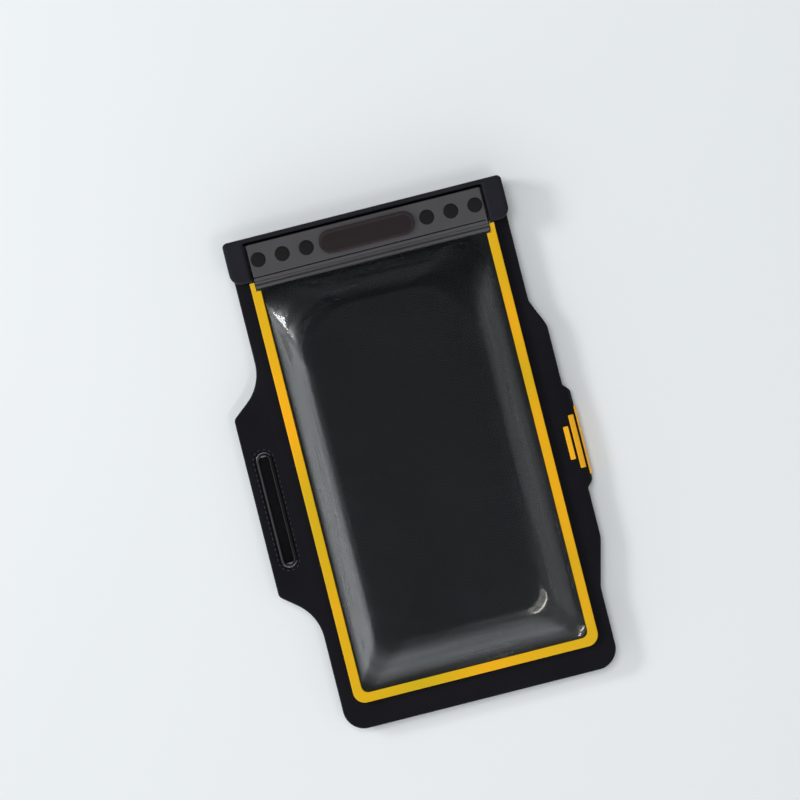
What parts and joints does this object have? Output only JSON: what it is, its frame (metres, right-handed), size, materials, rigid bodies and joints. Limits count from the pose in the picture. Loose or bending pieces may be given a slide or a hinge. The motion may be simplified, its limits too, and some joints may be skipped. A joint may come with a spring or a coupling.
{
  "type": "waterproof armband pouch",
  "caption": "Flat sealed pouch with a clear window, magnetic closure, coloured frame and an elastic arm strap folded behind it.",
  "frame": {"origin": "middle of the pouch's width and length, on the surface it lies on, which is the underside of the strap", "axes": "+X across the pouch, to the right of someone who looks at the window; +Y along it, up to the closure; +Z out of the window"},
  "size_m": [0.1405, 0.212, 0.0171],
  "materials": {
    "carrier_fabric": "black laminated stretch fabric, matt",
    "hood_fabric": "black fine weave, matt",
    "elastic_webbing": "black ribbed elastic webbing",
    "loop_pile": "black loop pile",
    "hook_nylon": "black moulded hooks",
    "rim_rubber": "black satin rubber",
    "rear_film": "dark glossy film",
    "clear_film": "clear glossy film, slightly smoky",
    "frame_yellow": "warm yellow, satin gloss",
    "reflective_yellow": "warm yellow reflective print",
    "seal_grey": "dark grey satin",
    "magnet_cap": "near black, satin",
    "badge_gloss": "near black gloss, bare"
  },
  "bodies": {
    "root": {"carrier_panel": "carrier_fabric", "top_hood": "hood_fabric", "slot_rim": "rim_rubber", "arm_strap": "elastic_webbing", "hook_patch": "hook_nylon", "loop_patch": "loop_pile", "reflective_bar_1": "reflective_yellow", "reflective_bar_2": "reflective_yellow", "reflective_bar_3": "reflective_yellow", "rear_wall": "rear_film", "window_film": "clear_film", "colour_frame": "frame_yellow", "front_seal_strip": "seal_grey", "rear_seal_strip": "seal_grey", "seal_lip": "seal_grey", "badge_plate": "badge_gloss", "front_magnet_1": "magnet_cap", "front_magnet_2": "magnet_cap", "front_magnet_3": "magnet_cap", "front_magnet_4": "magnet_cap", "front_magnet_5": "magnet_cap", "front_magnet_6": "magnet_cap", "rear_magnet_1": "magnet_cap", "rear_magnet_2": "magnet_cap", "rear_magnet_3": "magnet_cap", "rear_magnet_4": "magnet_cap", "rear_magnet_5": "magnet_cap", "rear_magnet_6": "magnet_cap"}
  },
  "joints": []
}
